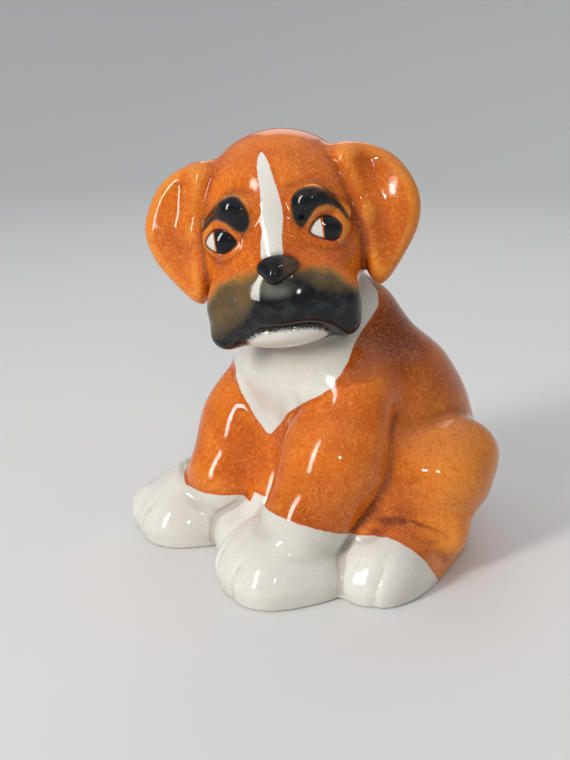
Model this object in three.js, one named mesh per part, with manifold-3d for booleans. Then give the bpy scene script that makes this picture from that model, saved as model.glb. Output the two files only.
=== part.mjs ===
// A sitting boxer puppy ornament in glazed earthenware, made of separately moulded pieces joined with slip.
// Millimetres, +Z up. The puppy faces -Y with its head turned towards +X, and its left side is +X.
// The finished group stands on z = 0, with its origin under the middle of its bounding box.

import * as THREE from "three";
import { mergeVertices } from "three/addons/utils/BufferGeometryUtils.js";
import Module from "manifold-3d";

// Making
const wall = 4.5; // thickness of the cast clay
const seam = 0.3; // slip joint between two pieces
const pourHoleDiameter = 18;
const bodySquare = 2.2; // squareness of the level slices, where 2 is an ellipse

// Body, from the table to the top of the neck. Each level rises above the one before it,
// and has a width, a front and a back.
const seatWidth = 78;
const seatFront = -16;
const seatBack = 52;
const bellyRise = 26;
const bellyWidth = 90;
const bellyFront = -25;
const bellyBack = 60;
const ribRise = 26;
const ribWidth = 86;
const ribFront = -30;
const ribBack = 59;
const shoulderRise = 24;
const shoulderWidth = 82;
const shoulderFront = -38;
const shoulderBack = 46;
const collarRise = 14;
const collarWidth = 58;
const collarFront = -31;
const collarBack = 30;
const neckRise = 13;
const neckWidth = 48;
const neckFront = -28;
const neckBack = 19;
const napeRise = 7;
const napeWidth = 40;
const napeFront = -31;
const napeBack = 9;
const neckEndRise = 8; // to the open top of the neck, inside the head
const neckEndWidth = 30;
const neckEndFront = -34;
const neckEndBack = -4;

const ribHeight = bellyRise + ribRise;
const shoulderHeight = ribHeight + shoulderRise;
const collarHeight = shoulderHeight + collarRise;
const neckHeight = collarHeight + neckRise;
const napeHeight = neckHeight + napeRise;
const neckEnd = napeHeight + neckEndRise;

// Left foreleg, from inside the shoulder to the ankle
const legTop = [27, -14, 70];
const legTopDiameter = 32;
const elbow = [30, -24, 47];
const elbowDiameter = 37;
const ankle = [29.5, -36, 27];
const ankleDiameter = 33;
const legCavityDiameter = 22;
const rightLegInset = 5; // the right foreleg stands this much closer to the middle

// Web of clay between the forepaws
const webMiddle = [-3, -33, 6];
const webWidth = 46;
const webDepth = 38;
const webHeight = 32;

// Forepaws: each heel, and how far the paw turns outwards in degrees. A paw reaches its length before its heel
// at the toes and a little behind it, and both ends draw in towards the top of the instep.
const leftHeel = [28, -21, 0];
const leftTurn = -8;
const rightHeel = [-32, -22, 0];
const rightTurn = 21;
const outerToeMiddle = [-52.5, -54.5, 8]; // of the right forepaw, which spreads out
const outerToeDiameter = 20;
const foreLength = 47;
const foreWidth = 46.6;
const foreHeight = 28;
const foreHeelBack = 2;
const foreToeDraw = 21;
const foreHeelDraw = 15;
const pawSquare = 2.7;

// Left haunch: a thigh, a hip, the flank behind the foreleg and the hock along the top of the foot
const thighMiddle = [42.5, 17.5, 37.5];
const thighWidth = 41.6;
const thighDepth = 48;
const thighHeight = 40.6;
const hipMiddle = [40.5, 27, 43.5];
const hipWidth = 34;
const hipDepth = 32;
const hipHeight = 25;
const flankMiddle = [34, -5, 36];
const flankWidth = 35;
const flankDepth = 36;
const flankHeight = 52;
const kneeMiddle = [39, 6, 36.5]; // between the thigh and the flank
const kneeDiameter = 40;
const hockFront = [40, -17, 20.5];
const hockBack = [52.5, 11, 17];
const hockDiameter = 20;
const haunchTurn = 20; // degrees outwards
const haunchCavityDiameter = 26;

// Left hind paw
const hindHeel = [28, 24, 0];
const hindTurn = 25;
const hindLength = 63;
const hindWidth = 41;
const hindHeight = 28;
const hindHeelBack = 21;
const hindToeDraw = 23;
const hindHeelDraw = 21;

// Grooves between the toes, alike on all four paws
const grooveSpread = 7.2; // from the middle of the paw
const grooveDiameter = 3;
const grooveDepth = 0.9;

// Head, in its own frame: it faces -Y, with its origin between the eyes and the ears
const headForward = 2; // its middle stands behind the front of the neck
const headRise = 27; // above the neck
const headCentre = [0, neckFront + headForward, neckHeight + headRise];
const headTurn = 48; // degrees towards the left side
const headTilt = 8; // degrees, left side up
const skullWidth = 63;
const skullTop = 35;
const skullBottom = -33.5;
const skullBack = 30.5;
const skullFront = -24.5;
const browHeight = 9;
const browSpread = 13;
const browWidth = 13;
const browDepth = 9.2;
const browInset = 3; // its middle lies behind the front of the skull
const browTail = [24.5, -14.5, 4];
const browTailDiameter = 5.4;
const eyeHeight = -0.5;
const eyeSpread = 18.4;
const eyeWidth = 15.2;
const eyeDepth = 11.8;
const eyeInset = 7.2;
const eyeTurn = 30;
const bridgeHeight = 10; // top of the muzzle
const bridgeWidth = 19;
const muzzleFront = -33.5;
const lipHeight = -36.5;
const lipWidth = 59;
const lipArch = 10.8; // how far the middle of the upper lip lifts
const archWidth = 45;
const archDepth = 48;
const archDrop = 5; // its middle lies under the lip's edge
const muzzleSquare = 2.6;
const chinWidth = 42;
const chinHeight = 16.4;
const chinFront = -29.3;
const chinRise = 3.5; // its middle lies above the lip's edge
const noseHeight = -8.3;
const noseWidth = 14.4;
const noseDepth = 9.6;
const noseDiameter = 7.4;
const noseTipDrop = 3.6;
const noseTipDiameter = 8.6;

// Left ear, in the head's frame: a hanging flap
const earTop = 25;
const earBend = 17; // height at which the flap turns down
const earBottom = -23;
const earRoot = 18; // distance from the middle to the inner edge at the top
const earInner = 28;
const earOuter = 51.5;
const earThickness = 9;
const earForward = -3; // the hanging part lies a little before the root

// Tail stub
const tailInset = 8; // its root lies inside the back
const tailReach = 3; // its tip stands out behind the back
const tailRoot = [0, bellyBack - tailInset, 11];
const tailTip = [0, bellyBack + tailReach, 14];
const tailDiameter = 17;

const wasm = await Module();
wasm.setup();

const radians = THREE.MathUtils.degToRad;
const zAxis = new THREE.Vector3(0, 0, 1);

// A number on the smooth curve through b and c, with a and d as its neighbours.
function smooth(a, b, c, d, t) {
  const square = 2 * a - 5 * b + 4 * c - d;
  const cube = 3 * b - a - 3 * c + d;
  return 0.5 * (2 * b + (c - a) * t + square * t ** 2 + cube * t ** 3);
}

// Adds smooth levels between a few chosen ones. A level is a list of numbers.
function fill(levels, steps) {
  const at = (i) => levels[THREE.MathUtils.clamp(i, 0, levels.length - 1)];
  const filled = [];
  for (let i = 0; i < levels.length - 1; i++)
    for (let k = 0; k < steps; k++) {
      const [before, next, later] = [at(i - 1), at(i + 1), at(i + 2)];
      filled.push(at(i).map((value, n) => smooth(before[n], value, next[n], later[n], k / steps)));
    }
  return [...filled, levels.at(-1)];
}

// A closed skin over rings. A ring has a centre, two half axes and a squareness, which is 2 for an ellipse.
function loft(rings, sides = 24) {
  const positions = [];
  const faces = [];
  for (const { centre, right, up, square = 2 } of rings)
    for (let k = 0; k < sides; k++) {
      const angle = (2 * Math.PI * k) / sides;
      const bow = (value) => Math.sign(value) * Math.abs(value) ** (2 / square);
      const point = centre.clone().addScaledVector(right, bow(Math.cos(angle)));
      positions.push(...point.addScaledVector(up, bow(Math.sin(angle))));
    }
  for (let r = 0; r < rings.length - 1; r++)
    for (let k = 0; k < sides; k++) {
      const a = r * sides + k;
      const b = r * sides + ((k + 1) % sides);
      faces.push(a, b, b + sides, a, b + sides, a + sides);
    }
  const start = rings.length * sides;
  const last = start - sides;
  positions.push(...rings[0].centre, ...rings.at(-1).centre);
  for (let k = 0; k < sides; k++) {
    const next = (k + 1) % sides;
    faces.push(start, next, k, start + 1, last + k, last + next);
  }
  const geometry = new THREE.BufferGeometry();
  geometry.setAttribute("position", new THREE.Float32BufferAttribute(positions, 3));
  geometry.setIndex(faces);
  return geometry;
}

// Rings that shrink a ring to a rounded end, outwards along a vector as long as the rounding.
function dome(ring, outwards) {
  return [30, 60, 80].map((angle) => {
    const share = Math.cos(radians(angle));
    const centre = ring.centre.clone().addScaledVector(outwards, Math.sin(radians(angle)));
    const right = ring.right.clone().multiplyScalar(share);
    const up = ring.up.clone().multiplyScalar(share);
    return { ...ring, centre, right, up };
  });
}

// Adds a rounded end of the given length at each end of a row of rings.
function roundEnds(rings, startLength, endLength) {
  const direction = (a, b, length) => b.centre.clone().sub(a.centre).setLength(length);
  const start = startLength ? dome(rings[0], direction(rings[1], rings[0], startLength)).reverse() : [];
  const end = endLength ? dome(rings.at(-1), direction(rings.at(-2), rings.at(-1), endLength)) : [];
  return [...start, ...rings, ...end];
}

// Rings across a limb. A level has x, y, z and a diameter.
function limbRings(levels, grow, steps = 3) {
  const filled = fill(levels, steps);
  const places = filled.map((level) => new THREE.Vector3(...level.slice(0, 3)));
  const place = (i) => places[THREE.MathUtils.clamp(i, 0, places.length - 1)].clone();
  return filled.map((level, i) => {
    const along = place(i + 1).sub(place(i - 1)).normalize();
    const sideways = Math.abs(along.x) < 0.9 ? new THREE.Vector3(1, 0, 0) : new THREE.Vector3(0, 1, 0);
    const right = sideways.projectOnPlane(along).normalize();
    const up = along.clone().cross(right);
    const half = level[3] / 2 + grow;
    return { centre: place(i), right: right.multiplyScalar(half), up: up.multiplyScalar(half) };
  });
}

// A round rod along a path, with its far end rounded.
function tube(path, diameter, rounding, sides = 12) {
  const levels = path.map((place) => [...place, diameter]);
  return loft(roundEnds(limbRings(levels, 0, 2), 0, rounding), sides);
}

// An ellipsoid of given full sizes, turned about the vertical.
function ball(centre, sizes, { grow = 0, turn = 0, sides = 16 } = {}) {
  const geometry = new THREE.SphereGeometry(0.5, sides, (sides * 2) / 3);
  geometry.scale(...sizes.map((size) => size + 2 * grow));
  return geometry.rotateZ(radians(turn)).translate(...centre);
}

function solid(geometry) {
  const bare = geometry.clone();
  bare.deleteAttribute("normal");
  bare.deleteAttribute("uv");
  const merged = mergeVertices(bare, 1e-4);
  const vertProperties = new Float32Array(merged.attributes.position.array);
  const triVerts = new Uint32Array(merged.index.array);
  return new wasm.Manifold(new wasm.Mesh({ numProp: 3, vertProperties, triVerts }));
}

// A solid's skin as a geometry.
function plain(made) {
  const { numProp, vertProperties, triVerts } = made.getMesh();
  const geometry = new THREE.BufferGeometry();
  geometry.setAttribute("position", new THREE.BufferAttribute(new Float32Array(vertProperties), numProp));
  geometry.setIndex(new THREE.BufferAttribute(new Uint32Array(triVerts), 1));
  return geometry;
}

// The largest body of a cut piece. Offcuts inside its neighbour are dropped.
const geometryOf = (made) => plain(made.decompose().sort((a, b) => b.volume() - a.volume())[0]);

const bothSides = (geometry) => [geometry, mirrored(geometry)];
const join = (...geometries) => geometries.map(solid).reduce((all, next) => all.add(next));
const cut = (made, ...geometries) => geometries.map(solid).reduce((left, next) => left.subtract(next), made);

// The same piece for the other side, with its faces turned to point outwards again.
function mirrored(geometry) {
  const other = geometry.clone().scale(-1, 1, 1);
  const { array } = other.index;
  for (let i = 0; i < array.length; i += 3) [array[i], array[i + 1]] = [array[i + 1], array[i]];
  return other;
}

// Everything below the table, to trim the pieces that rest on it
const tableWidth = 300;
const table = new THREE.BoxGeometry(tableWidth, tableWidth, tableWidth).translate(0, 0, -tableWidth / 2);

// Level slices from the bottom up. Each has a height, a width, a front and a back.
function slices(levels, grow, square, steps = 2) {
  return fill(levels, steps).map(([height, width, front, back]) => ({
    centre: new THREE.Vector3(0, (front + back) / 2, height),
    right: new THREE.Vector3(width / 2 + grow, 0, 0),
    up: new THREE.Vector3(0, (back - front) / 2 + grow, 0),
    square,
  }));
}

// Body and neck
function torso(grow, sides = 28, above = 0) {
  const levels = [
    [0, seatWidth, seatFront, seatBack],
    [bellyRise, bellyWidth, bellyFront, bellyBack],
    [ribHeight, ribWidth, ribFront, ribBack],
    [shoulderHeight, shoulderWidth, shoulderFront, shoulderBack],
    [collarHeight, collarWidth, collarFront, collarBack],
    [neckHeight, neckWidth, neckFront, neckBack],
    [napeHeight, napeWidth, napeFront, napeBack],
    [neckEnd + above, neckEndWidth, neckEndFront, neckEndBack],
  ];
  return loft(slices(levels, grow, bodySquare), sides);
}
const web = ball(webMiddle, [webWidth, webDepth, webHeight], { sides: 24 });

// Foreleg, with a rounded end that sits in the paw
const legLevels = [
  [...legTop, legTopDiameter],
  [...elbow, elbowDiameter],
  [...ankle, ankleDiameter],
];
function foreleg(grow) {
  const rounded = roundEnds(limbRings(legLevels, grow), legTopDiameter / 2, ankleDiameter / 3 + grow);
  return loft(rounded, 18);
}

// The leg is cast hollow, and drains into the body through the shoulder.
const shoulderPort = [0, shoulderBack / 3, legTop[2]];
const legCavity = tube([shoulderPort, elbow, ankle], legCavityDiameter, wall);

// A paw lies along -Y from its heel. Each level has a share of the height and of the width,
// and shares of how far its toes and its heel draw in. The lowest reaches under the table to be trimmed.
const pawLevels = [
  [-0.1, 0.92, 0.1, 0],
  [0.25, 1, 0, 0],
  [0.46, 0.93, 0.11, 0.15],
  [0.64, 0.77, 0.31, 0.45],
  [0.82, 0.6, 0.63, 0.75],
  [1, 0.38, 1, 1],
];
function paw({ heel, turn, length, width, height, heelBack, toeDraw, heelDraw, outerToe }, grow = 0) {
  const levels = pawLevels.map(([upwards, across, toes, behind]) => [
    height * upwards + (upwards > 0 ? grow * upwards : 0),
    width * across,
    toeDraw * toes - length,
    heelBack - heelDraw * behind,
  ]);
  const made = solid(loft(roundEnds(slices(levels, grow, pawSquare), 0, wall / 4), 24));
  const path = levels.slice(0, 5).map(([level, across, front, back]) => {
    const bow = (1 - ((2 * grooveSpread) / across) ** pawSquare) ** (1 / pawSquare);
    const face = (front + back) / 2 - (bow * (back - front)) / 2;
    return [grooveSpread, face - grow - grooveDiameter / 2 + grooveDepth, level];
  });
  const groove = tube(path, grooveDiameter, grooveDiameter / 2, 8);
  const cleft = grow ? made : cut(made, ...bothSides(groove));
  const placed = plain(cleft).rotateZ(radians(turn)).translate(...heel);
  if (!outerToe) return placed;
  const toeSizes = [outerToeDiameter, outerToeDiameter, outerToeDiameter];
  return plain(join(placed, ball(outerToe, toeSizes, { grow, sides: 18 })));
}

const foreSizes = {
  length: foreLength,
  width: foreWidth,
  height: foreHeight,
  heelBack: foreHeelBack,
  toeDraw: foreToeDraw,
  heelDraw: foreHeelDraw,
};
const leftForePaw = { heel: leftHeel, turn: leftTurn, ...foreSizes };
const rightForePaw = { heel: rightHeel, turn: -rightTurn, outerToe: outerToeMiddle, ...foreSizes };
const hindPaw = {
  heel: hindHeel,
  turn: hindTurn,
  length: hindLength,
  width: hindWidth,
  height: hindHeight,
  heelBack: hindHeelBack,
  toeDraw: hindToeDraw,
  heelDraw: hindHeelDraw,
};

function haunch(grow) {
  const shape = { grow, turn: haunchTurn, sides: 24 };
  const hock = limbRings([[...hockFront, hockDiameter], [...hockBack, hockDiameter]], grow);
  const rounding = hockDiameter / 2 + grow;
  const forms = [
    ball(thighMiddle, [thighWidth, thighDepth, thighHeight], shape),
    ball(hipMiddle, [hipWidth, hipDepth, hipHeight], shape),
    ball(flankMiddle, [flankWidth, flankDepth, flankHeight], shape),
    ball(kneeMiddle, [kneeDiameter, kneeDiameter, kneeDiameter], shape),
    loft(roundEnds(hock, rounding, rounding), 18),
  ];
  return plain(join(...forms));
}
const haunchPort = [thighMiddle[0] / 3, thighMiddle[1], thighMiddle[2]];
const haunchCavity = tube([haunchPort, thighMiddle], haunchCavityDiameter, wall * 2);

const tail = tube([tailRoot, tailTip], tailDiameter, tailDiameter / 2, 16);

// Head, in its own frame. Each level has a share of the top or the bottom, of the width, the front and the back.
const skullLevels = [
  [-0.955, 0.32, 0.31, 0.28],
  [-0.84, 0.62, 0.61, 0.52],
  [-0.54, 0.92, 0.92, 0.82],
  [-0.18, 1, 1, 0.95],
  [0.17, 0.97, 0.96, 1],
  [0.51, 0.86, 0.82, 0.92],
  [0.8, 0.62, 0.53, 0.69],
  [0.91, 0.41, 0.31, 0.51],
  [0.97, 0.24, 0.1, 0.34],
];
function skull(grow, sides = 28) {
  const levels = skullLevels.map(([upwards, across, ahead, behind]) => [
    upwards * ((upwards > 0 ? skullTop : -skullBottom) + grow),
    skullWidth * across,
    skullFront * ahead,
    skullBack * behind,
  ]);
  return loft(roundEnds(slices(levels, grow / 2, 2), 1, 1), sides);
}

// The muzzle widens from the bridge down to the hanging lips. Each level has a height, a width and a front.
function muzzle(grow, sides = 28) {
  const levels = [
    [lipHeight, lipWidth * 0.88, muzzleFront * 0.73],
    [lipHeight * 0.88, lipWidth * 0.95, muzzleFront * 0.88],
    [lipHeight * 0.66, lipWidth, muzzleFront],
    [lipHeight * 0.44, lipWidth * 0.93, muzzleFront],
    [lipHeight * 0.27, lipWidth * 0.81, muzzleFront * 0.94],
    [lipHeight * 0.14, lipWidth * 0.58, muzzleFront * 0.87],
    [0, bridgeWidth * 1.2, muzzleFront * 0.8],
    [bridgeHeight, bridgeWidth, muzzleFront * 0.67],
  ].map(([height, width, front]) => [height, width, front, 0]);
  const rounding = wall / 2 + grow;
  return loft(roundEnds(slices(levels, grow, muzzleSquare, 1), rounding, rounding), sides);
}

const archSizes = [archWidth, archDepth, 2 * lipArch];
const lip = ball([0, muzzleFront, lipHeight - archDrop], archSizes, { sides: 24 });
const chin = ball([0, chinFront / 2, lipHeight + chinRise], [chinWidth, -chinFront, chinHeight], { sides: 24 });

const browMiddle = [browSpread, skullFront + browInset, browHeight];
const brow = ball(browMiddle, [browWidth, browDepth, browWidth], { turn: haunchTurn });
const browArc = tube([[...browMiddle].with(2, browHeight + 2), browTail], browTailDiameter, browTailDiameter / 2);
const eyeMiddle = [eyeSpread, skullFront + eyeInset, eyeHeight];
const eye = ball(eyeMiddle, [eyeWidth, eyeDepth, eyeDepth], { turn: eyeTurn });

const headFrame = new THREE.Group();
headFrame.position.set(...headCentre);
headFrame.rotation.set(0, radians(-headTilt), radians(headTurn), "ZXY");
headFrame.updateMatrix();
const intoHead = headFrame.matrix.clone().invert();

function headForm(grow) {
  const muzzleWithLip = cut(solid(muzzle(grow)), lip);
  const features = [brow, browArc, eye].flatMap(bothSides);
  return join(skull(grow), chin, ...features).add(muzzleWithLip);
}

// Ear flap, as level slices from the tip up to the root.
// Each level has a height, an inner edge, an outer edge, a place along Y and a share of the thickness.
function ear() {
  const levels = [
    [earBottom, earInner + 3, earInner + 9, earForward, 0.6],
    [earBottom * 0.7, earInner + 1, earOuter - 9, earForward, 0.85],
    [earBottom * 0.2, earInner, earOuter - 1, earForward, 1],
    [earBend * 0.4, earInner - 2, earOuter, earForward / 2, 1],
    [earBend, earRoot + 4, earOuter - 5, 0, 1.1],
    [earTop, earRoot, earOuter - 20, 0, 1.1],
  ];
  const rings = fill(levels, 2).map(([height, inner, outer, along, share]) => ({
    centre: new THREE.Vector3((inner + outer) / 2, along, height),
    right: new THREE.Vector3((outer - inner) / 2, 0, 0),
    up: new THREE.Vector3(0, (earThickness * share) / 2, 0),
    square: bodySquare,
  }));
  return loft(roundEnds(rings, earThickness / 4, earThickness / 3), 18);
}

// Finishes
const orangeGlaze = new THREE.MeshStandardMaterial({ color: 0xc8601c, roughness: 0.15, metalness: 0 });
const whiteGlaze = new THREE.MeshStandardMaterial({ color: 0xe6e0d4, roughness: 0.15, metalness: 0 });
const blackGlaze = new THREE.MeshStandardMaterial({ color: 0x16181c, roughness: 0.12, metalness: 0 });

const puppy = new THREE.Group();
puppy.add(headFrame);

function add(parent, name, made, material) {
  const geometry = geometryOf(made);
  geometry.computeVertexNormals();
  const mesh = new THREE.Mesh(geometry, material);
  mesh.name = name;
  parent.add(mesh);
}

// Body shell, open at the top of the neck and at the pour hole
const pourHole = new THREE.CylinderGeometry(pourHoleDiameter / 2, pourHoleDiameter / 2, 4 * wall, 24);
pourHole.rotateX(Math.PI / 2).translate(0, (seatFront + seatBack) / 2, 0);
const underFloor = table.clone().translate(0, 0, wall);
const castCavity = cut(solid(torso(-wall, 18, wall)), underFloor);
const paws = [paw(leftForePaw, seam), paw(rightForePaw, seam)];
const legs = [foreleg(seam), mirrored(foreleg(seam)).translate(rightLegInset, 0, 0)];
const webShape = cut(solid(web), table, ...paws, ...legs);
const bodyShell = solid(torso(0)).add(webShape).subtract(castCavity);
const ports = [legCavity, mirrored(legCavity).translate(rightLegInset, 0, 0), ...bothSides(haunchCavity)];
add(puppy, "body", cut(bodyShell, pourHole, ...ports), orangeGlaze);
add(puppy, "tail", cut(solid(tail), torso(seam)), orangeGlaze);

// Head shell, open where the neck comes in
const neck = torso(seam, 28, seam).applyMatrix4(intoHead);
const nosePad = ball([0, muzzleFront, noseHeight], [noseWidth, noseDepth, noseDiameter]);
const noseTipMiddle = [0, muzzleFront, noseHeight - noseTipDrop];
const noseTip = ball(noseTipMiddle, [noseTipDiameter, noseDepth, noseTipDiameter]);
add(headFrame, "head", cut(headForm(0), skull(-wall, 18), muzzle(-wall, 18), neck), orangeGlaze);
add(headFrame, "nose", join(nosePad, noseTip).subtract(headForm(seam)), blackGlaze);

// Legs, paws and ears. The left shapes are turned over for the right side.
const inBody = torso(seam);
for (const [side, flip, forePaw, inset] of [
  ["left", (geometry) => geometry, leftForePaw, 0],
  ["right", mirrored, rightForePaw, rightLegInset],
]) {
  const legForms = [foreleg(0), foreleg(seam), legCavity];
  const [leg, legGap, hollow] = legForms.map((form) => flip(form).translate(inset, 0, 0));
  add(puppy, side + "_foreleg", cut(solid(leg), inBody, hollow), orangeGlaze);
  add(puppy, side + "_forepaw", cut(solid(paw(forePaw)), inBody, legGap, table), whiteGlaze);
  const pawGap = paw(forePaw, seam);
  const haunchCuts = [inBody, legGap, pawGap, flip(haunchCavity), table];
  add(puppy, side + "_haunch", cut(solid(flip(haunch(0))), ...haunchCuts), orangeGlaze);
  const hindCuts = [inBody, legGap, pawGap, flip(haunch(seam)), table];
  add(puppy, side + "_hindpaw", cut(solid(flip(paw(hindPaw))), ...hindCuts), whiteGlaze);
  add(headFrame, side + "_ear", cut(solid(flip(ear())), neck).subtract(headForm(seam)), orangeGlaze);
}

// Stands the group on the table with its origin under the middle of its box.
const box = new THREE.Box3().setFromObject(puppy, true);
const middle = box.getCenter(new THREE.Vector3());
puppy.position.set(-middle.x, -middle.y, -box.min.z);

export default puppy;
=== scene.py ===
import math

import bpy
import numpy as np
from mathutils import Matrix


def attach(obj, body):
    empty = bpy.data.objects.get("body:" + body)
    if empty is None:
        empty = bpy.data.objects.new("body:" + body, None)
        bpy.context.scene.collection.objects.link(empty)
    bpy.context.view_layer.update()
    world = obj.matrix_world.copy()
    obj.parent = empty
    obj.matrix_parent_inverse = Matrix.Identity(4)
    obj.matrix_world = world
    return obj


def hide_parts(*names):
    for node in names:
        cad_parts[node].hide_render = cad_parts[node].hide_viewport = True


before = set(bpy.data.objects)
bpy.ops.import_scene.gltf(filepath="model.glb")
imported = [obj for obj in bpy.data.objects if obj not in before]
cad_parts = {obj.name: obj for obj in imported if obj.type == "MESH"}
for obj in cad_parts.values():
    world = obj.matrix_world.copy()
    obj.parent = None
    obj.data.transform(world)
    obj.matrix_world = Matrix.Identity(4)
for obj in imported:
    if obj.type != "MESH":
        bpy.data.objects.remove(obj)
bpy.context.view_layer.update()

import openvdb
from mathutils import Vector

# The figure is shaped in millimetres, standing on z = 0 with the chest towards -Y and the puppy's left at +X.
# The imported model's origin lies under the middle of its box, a little in front of the figure's own.
MM = 0.001
FIGURE_TO_ROW = np.array([0.0, -1.45, 0.0])

# Head frame: the face looks along -Y, +X is the puppy's left
HEAD_CENTRE = np.array([0.0, -26.0, 130.0])
HEAD_TURN = math.radians(48)
HEAD_TILT = math.radians(-8)


def turn_z(angle):
    c, s = math.cos(angle), math.sin(angle)
    return np.array([[c, -s, 0], [s, c, 0], [0, 0, 1.0]])


def turn_y(angle):
    c, s = math.cos(angle), math.sin(angle)
    return np.array([[c, 0, s], [0, 1.0, 0], [-s, 0, c]])


HEAD_AXES = turn_z(HEAD_TURN) @ turn_y(HEAD_TILT)


def head_space(points):
    return (points - HEAD_CENTRE) @ HEAD_AXES


def flipped(points):
    return points * np.array([-1.0, 1.0, 1.0])


# Forms, as signed distances in millimetres, negative inside the clay

def egg(points, centre, radii, turn=None):
    local = points - np.array(centre, float)
    if turn is not None:
        local = local @ turn
    radii = np.array(radii, float)
    near = np.linalg.norm(local / radii, axis=1)
    slope = np.linalg.norm(local / radii ** 2, axis=1)
    return near * (near - 1.0) / np.maximum(slope, 1e-6)


def limb(points, start, end, start_radius, end_radius):
    start, end = np.array(start, float), np.array(end, float)
    along = end - start
    length = np.linalg.norm(along)
    along = along / length
    local = points - start
    height = local @ along
    across = np.linalg.norm(local - height[:, None] * along, axis=1)
    lean = (start_radius - end_radius) / length
    rise = math.sqrt(max(1.0 - lean * lean, 1e-6))
    side = height * rise - across * lean
    low = np.hypot(across, height) - start_radius
    high = np.hypot(across, height - length) - end_radius
    middle = across * rise + height * lean - start_radius
    return np.where(side < 0, low, np.where(side > length * rise, high, middle))


def blend_in(a, b, width):
    mix = np.maximum(width - np.abs(a - b), 0.0) / width
    return np.minimum(a, b) - mix * mix * width / 4


def carve(a, b, width):
    return -blend_in(-a, b, width)


def curve_steps(corners, steps):
    """Points on the smooth curve from the second of four corners to the third."""
    a, b, c, d = corners
    made = []
    for k in range(steps):
        t = k / steps
        made.append(0.5 * (2 * b + (c - a) * t + (2 * a - 5 * b + 4 * c - d) * t ** 2
                           + (3 * b - a - 3 * c + d) * t ** 3))
    return made


def smooth_rows(rows, steps=12):
    rows = np.array(rows, float)
    padded = np.vstack([rows[0], rows, rows[-1]])
    made = []
    for i in range(len(rows) - 1):
        made += curve_steps(padded[i:i + 4], steps)
    return np.array(made + [rows[-1]])


def stack(points, rows, square=2.2):
    """A form of level slices. A row has a height, a half width, a front and a back."""
    height = points[:, 2]
    table = smooth_rows(rows)
    half = np.interp(height, table[:, 0], table[:, 1])
    front = np.interp(height, table[:, 0], table[:, 2])
    back = np.interp(height, table[:, 0], table[:, 3])
    deep = (back - front) / 2
    u = np.abs(points[:, 0]) / half
    v = np.abs(points[:, 1] - (front + back) / 2) / deep
    reach = (u ** square + v ** square + 1e-9) ** (1 / square)
    gu = (u / reach) ** (square - 1) / half
    gv = (v / reach) ** (square - 1) / deep
    flat = (reach - 1.0) / np.hypot(gu, gv)
    over = np.maximum(height - table[-1, 0], 0.0)
    return np.where(over > 0, np.hypot(np.maximum(flat, 0.0), over), flat)


def closed_curve(corners, steps=6):
    corners = np.array(corners, float)
    made = []
    for i in range(len(corners)):
        made += curve_steps(np.roll(corners, 1 - i, axis=0)[:4], steps)
    return np.array(made)


def outline_distance(u, v, curve):
    """Distance from (u, v) to a closed curve, negative inside it."""
    nearest = np.full(len(u), 1e9)
    inside = np.zeros(len(u), bool)
    for a, b in zip(curve, np.roll(curve, -1, axis=0)):
        step = b - a
        pu, pv = u - a[0], v - a[1]
        t = np.clip((pu * step[0] + pv * step[1]) / max(step @ step, 1e-12), 0, 1)
        nearest = np.minimum(nearest, (pu - t * step[0]) ** 2 + (pv - t * step[1]) ** 2)
        crosses = (a[1] > v) != (b[1] > v)
        if a[1] != b[1]:
            inside ^= crosses & (u < (b[0] - a[0]) * (v - a[1]) / (b[1] - a[1]) + a[0])
    return np.where(inside, -1.0, 1.0) * np.sqrt(nearest)


def only_near(points, low, high, form, reach=14.0):
    """The form where it matters, and a safe large distance elsewhere."""
    low, high = np.array(low, float) - reach, np.array(high, float) + reach
    close = np.all((points > low) & (points < high), axis=1)
    value = np.full(len(points), 40.0)
    if close.any():
        value[close] = form(points[close])
    return value


# Body
TORSO_ROWS = [
    (0, 39, -16, 52),
    (26, 45, -25, 60),
    (52, 43, -30, 59),
    (76, 38.5, -38, 46),
    (90, 28.5, -31, 30),
    (103, 24, -28, 19),
    (110, 20, -31, 9),
    (118, 15, -34, -4),
]


def torso(points):
    form = stack(points, TORSO_ROWS)
    web = egg(points, (-3, -33, 6), (23, 19, 16))
    breast = limb(points, (-1, -20, 52), (0, -30, 18), 10.5, 12.5)
    return blend_in(blend_in(form, breast, 6), web, 5)


def tail(points):
    return limb(points, (0, 50, 11), (0, 62.5, 14), 9, 7.5)


# Legs and paws, given for the left side
SHOULDER, ELBOW, ANKLE = (27, -14, 70), (30, -24, 47), (29.5, -36, 27)


def foreleg(points):
    upper = limb(points, SHOULDER, ELBOW, 16, 18.5)
    lower = limb(points, ELBOW, ANKLE, 18.5, 16.5)
    return blend_in(upper, lower, 8)


# A paw's level slices: height, half width, front and back, measured from its heel
FOREPAW_ROWS = [
    (0, 22, -45, 2),
    (7, 23.3, -46.3, 2),
    (13, 21.5, -44, 0),
    (18, 18, -40, -5),
    (23, 14, -33.5, -9),
    (28, 9, -26, -13),
]
HINDPAW_ROWS = [
    (0, 19, -61.5, 20),
    (6, 20, -63, 21),
    (12, 19.5, -61, 20),
    (18, 17, -56, 15),
    (23, 13, -49, 8),
    (28, 8, -40, 0),
]


TOE_LINE_DEPTH = 0.9
TOE_LINE_WIDTH = 1.9


def paw(points, rows, heel, turn, reach, gap):
    """A paw's slices, with two lines between its toes.

    The lines begin at reach in front of the heel, and lie at gap to each side of the middle."""
    local = (points - np.array(heel, float)) @ turn_z(math.radians(turn))
    form = stack(local, rows, 2.7)
    front = np.clip((-local[:, 1] - reach) / 8, 0, 1) * np.clip((23 - local[:, 2]) / 10, 0, 1)
    for side in (-1, 1):
        spread = local[:, 0] - side * (gap + 0.12 * (local[:, 2] - 8))
        form = form + TOE_LINE_DEPTH * front * np.exp(-(spread / TOE_LINE_WIDTH) ** 2)
    return form


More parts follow.
